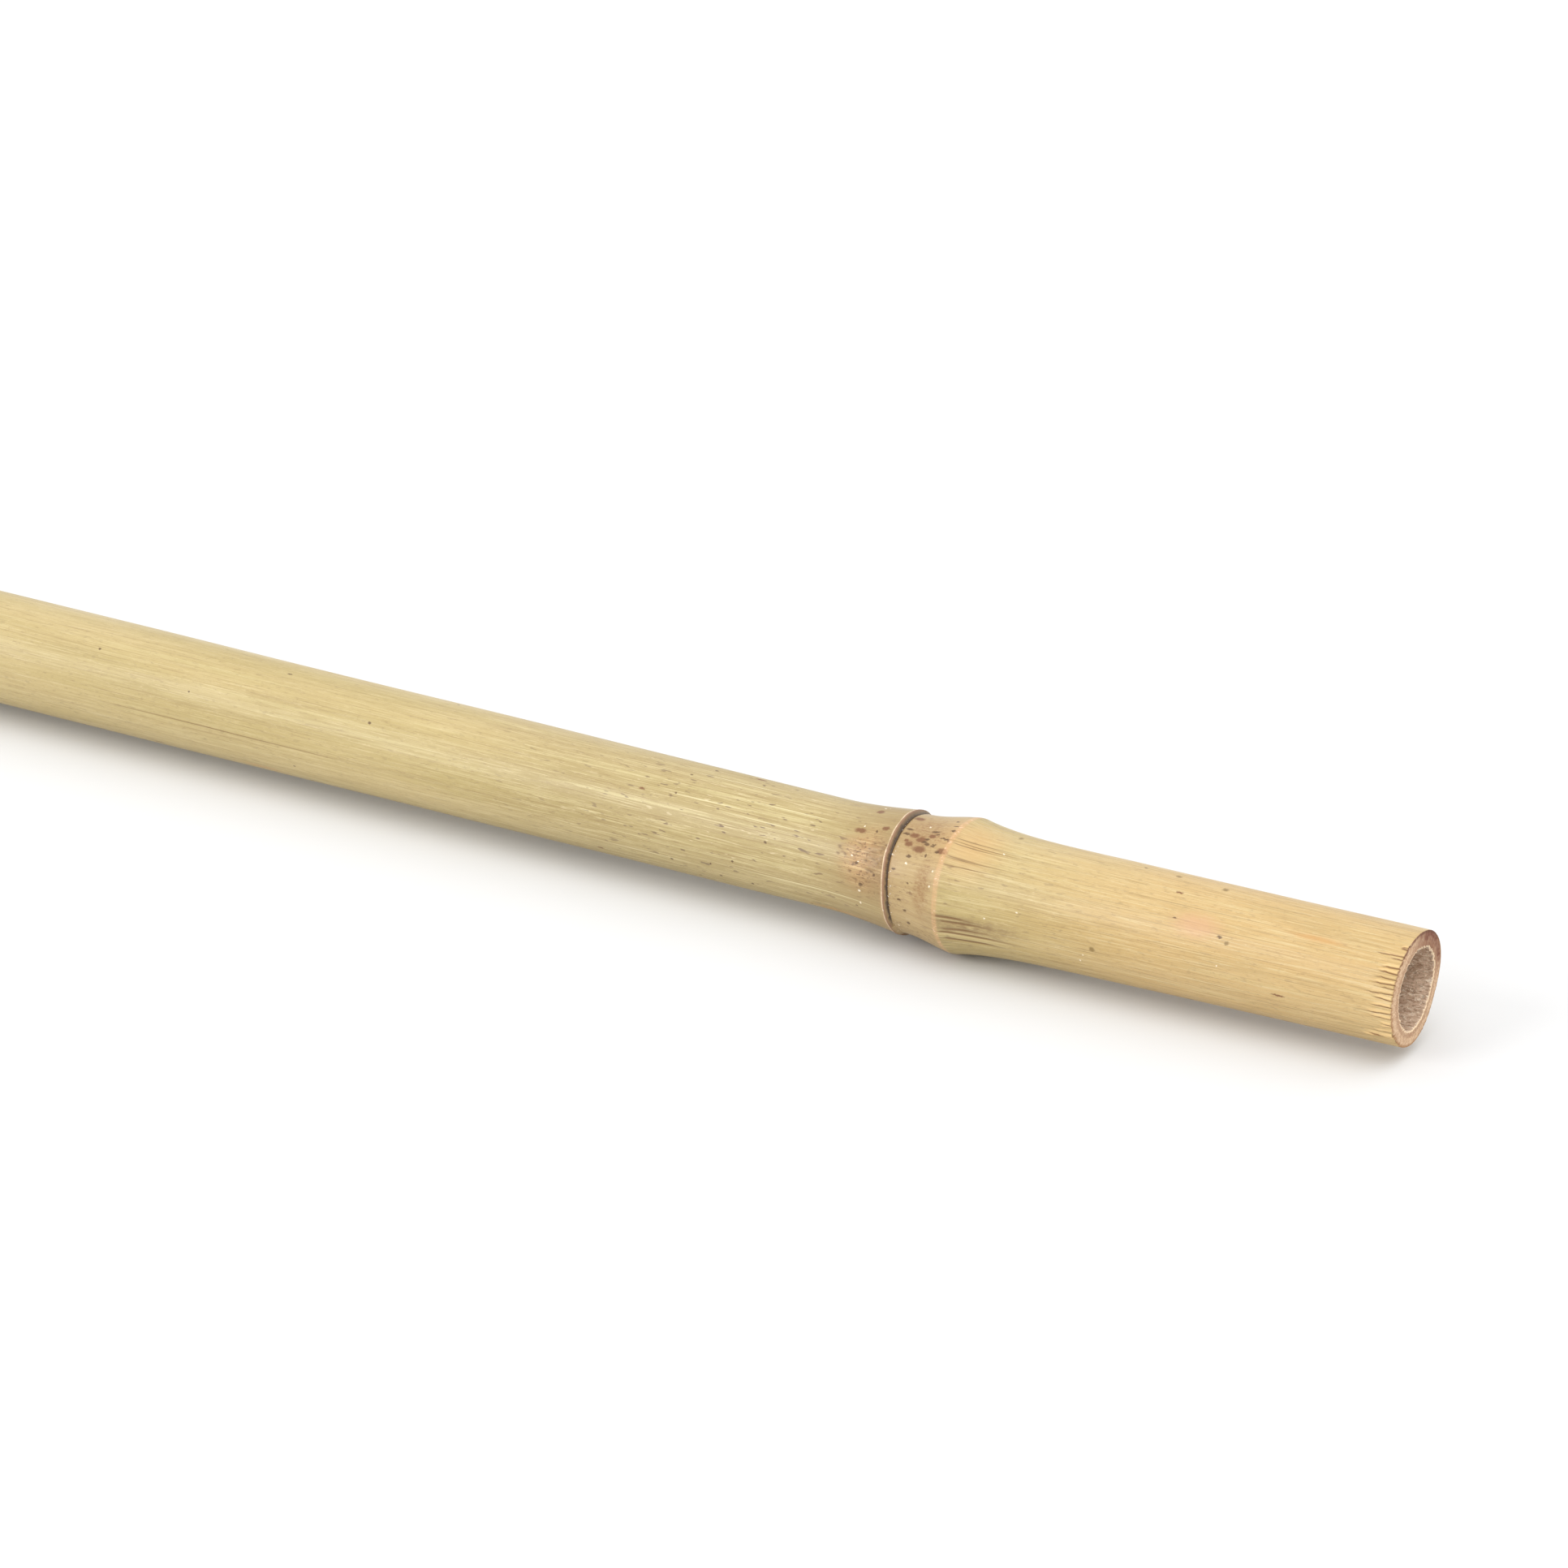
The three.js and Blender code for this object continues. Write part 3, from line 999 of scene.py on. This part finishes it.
# The sawn wall and the hollow, each with a pale and a deep ground, and what lies on it.
SAWN_PALE, SAWN_DEEP, SAWN_GRAIN = srgb(218, 186, 150), srgb(192, 154, 120), srgb(160, 120, 88)
SAWN_STAIN = srgb(116, 64, 42)
RIM_BROWN, RIM_DARK = srgb(164, 122, 82), srgb(104, 62, 40)
PITH_BROWN, INNER_CREAM = srgb(158, 118, 88), srgb(240, 216, 180)
HOLLOW_PALE, HOLLOW_DEEP = srgb(216, 188, 162), srgb(180, 150, 125)
HOLLOW_FLECK, HOLLOW_CRUMB = srgb(246, 232, 210), srgb(134, 103, 78)
FACE_STAINS = [(0, 56, 6, 6.4), (0, 25, 6, 3.6)]
DARK_RIM = [(0, 85, 8, 9)]


def cut_material():
    """The sawn wall: its stains lie at the tip end, and its rings follow the way in from the rim."""
    graph = Graph("bamboo_sawn_wall")
    place = graph.straight()
    inward = graph.mask("inward")
    ragged = graph.warped(place, 0.8, 1.6)
    mottle = graph.noise(place, 0.8, 0.8, 4.0, 0.6)
    grain = graph.noise(place, 4.0, 4.0, 2.0, 0.6)
    stained = graph.times(graph.marks(ragged, FACE_STAINS, 0.75), graph.ramp(mottle, 0.3, 0.6, 0.7, 1.0))
    rim = graph.times(graph.ramp(inward, 0.17, 0.05), graph.ramp(mottle, 0.25, 0.6, 0.5, 1.0))
    rim_colour = graph.mix(graph.marks(ragged, DARK_RIM, 0.4), RIM_BROWN, RIM_DARK)
    pithy = graph.times(graph.ramp(inward, 0.5, 0.66), graph.ramp(inward, 0.92, 0.84))
    colour = graph.layered(SAWN_PALE, [
        (graph.ramp(mottle, 0.35, 0.7), SAWN_DEEP),
        (graph.ramp(grain, 0.5, 0.66, 0, 0.7), SAWN_GRAIN),
        (stained, SAWN_STAIN),
        (graph.times(rim, 0.9), rim_colour),
        (graph.times(pithy, graph.ramp(grain, 0.36, 0.6, 0.25, 0.8)), PITH_BROWN),
        (graph.times(graph.ramp(inward, 0.88, 0.97), 0.85), INNER_CREAM),
    ])
    graph.feed(graph.shader.inputs["Base Color"], colour)
    graph.shader.inputs["Roughness"].default_value = 0.75
    graph.bump(grain, 0.06)
    return graph.material


def inside_material():
    """The hollow: torn pith in strands, with pale flecks and dark crumbs."""
    graph = Graph("bamboo_hollow")
    place = graph.straight()
    strands = graph.noise(place, 0.3, 1.2, 4.0, 0.7, 0.8)
    flecks = graph.noise(place, 0.8, 1.9, 3.0, 0.75, 1.2)
    crumbs = graph.noise(place, 1.5, 2.6, 2.0, 0.6)
    colour = graph.layered(HOLLOW_PALE, [
        (graph.ramp(strands, 0.35, 0.65), HOLLOW_DEEP),
        (graph.ramp(flecks, 0.52, 0.62, 0, 0.8), HOLLOW_FLECK),
        (graph.ramp(crumbs, 0.46, 0.36, 0, 0.55), HOLLOW_CRUMB),
    ])
    graph.feed(graph.shader.inputs["Base Color"], colour)
    graph.shader.inputs["Roughness"].default_value = 0.8
    graph.bump(strands, 0.12)
    return graph.material


def floor_material():
    graph = Graph("pale_floor")
    spread = graph.node("ShaderNodeTexCoord", {}, "Object")
    tone = graph.node("ShaderNodeTexNoise", {"Vector": spread, "Scale": 2.0, "Detail": 2.0})
    tint = graph.mix(graph.ramp(tone, 0.3, 0.7), (0.70, 0.70, 0.70, 1), (0.72, 0.72, 0.72, 1))
    graph.feed(graph.shader.inputs["Base Color"], tint)
    graph.shader.inputs["Roughness"].default_value = 0.9
    graph.shader.inputs["Specular IOR Level"].default_value = 0.1
    return graph.material


# ---------------------------------------------------------------- floor, light and camera

FLOOR_SIZE = 8.0
SKY_LIGHT = 1.0

# The soft lights, each as azimuth, elevation, spread (all in degrees) and strength. The overhead one
# also reaches the tip end's face, the front one makes the sheen along the culm, and a weak one comes
# from behind.
SOFT_LIGHTS = {
    "overhead": (45, 66, 60, 1.1),
    "front": (-32, 28, 28, 1.0),
    "back": (150, 45, 60, 0.3),
}

# The camera's place and aim in metres, its direction, and its lens and sensor in millimetres.
AIM_BEFORE_TIP = 0.1356
AIM_SIDEWAYS = 0.0080
AIM_BELOW_TOP = 0.0047
VIEW_AZIMUTH, VIEW_ELEVATION = math.radians(30.5), math.radians(24.2)
VIEW_DISTANCE = 1.177
LENS, SENSOR = 141.3, 36.0


def add_floor():
    half = FLOOR_SIZE / 2
    mesh = bpy.data.meshes.new("floor")
    corners = [(-half, -half, 0), (half, -half, 0), (half, half, 0), (-half, half, 0)]
    mesh.from_pydata(corners, [], [(0, 1, 2, 3)])
    mesh.materials.append(floor_material())
    floor = bpy.data.objects.new("floor", mesh)
    bpy.context.scene.collection.objects.link(floor)


def direction(azimuth, elevation):
    """The way from the cane to something seen at this azimuth, round from -Y to +X, and elevation."""
    level = math.cos(elevation)
    return Vector((math.sin(azimuth) * level, -math.cos(azimuth) * level, math.sin(elevation)))


def look_along(thing, way):
    thing.rotation_euler = way.to_track_quat("-Z", "Y").to_euler()


def add_light():
    scene = bpy.context.scene
    scene.world = bpy.data.worlds.new("studio")
    scene.world.use_nodes = True
    sky = scene.world.node_tree.nodes["Background"]
    sky.inputs["Color"].default_value = (1, 1, 1, 1)
    sky.inputs["Strength"].default_value = SKY_LIGHT
    for name, (azimuth, elevation, spread, strength) in SOFT_LIGHTS.items():
        lamp = bpy.data.lights.new(name, "SUN")
        lamp.angle = math.radians(spread)
        lamp.energy = strength
        light = bpy.data.objects.new(name, lamp)
        scene.collection.objects.link(light)
        look_along(light, -direction(math.radians(azimuth), math.radians(elevation)))


def add_camera():
    scene = bpy.context.scene
    camera = bpy.data.objects.new("camera", bpy.data.cameras.new("camera"))
    camera.data.lens = LENS
    camera.data.sensor_width = SENSOR
    across = (low.y + high.y) / 2 + AIM_SIDEWAYS
    target = Vector((high.x - AIM_BEFORE_TIP, across, high.z - AIM_BELOW_TOP))
    towards = direction(VIEW_AZIMUTH, VIEW_ELEVATION)
    camera.location = target + VIEW_DISTANCE * towards
    look_along(camera, -towards)
    scene.collection.objects.link(camera)
    scene.camera = camera
    scene.view_settings.view_transform = "Standard"


# ---------------------------------------------------------------- putting it together

add_camera()
add_light()
add_floor()

culm = build_culm()
for material in (skin_material(), cut_material(), inside_material()):
    culm.data.materials.append(material)
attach(culm, "root")
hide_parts("bamboo_cane")
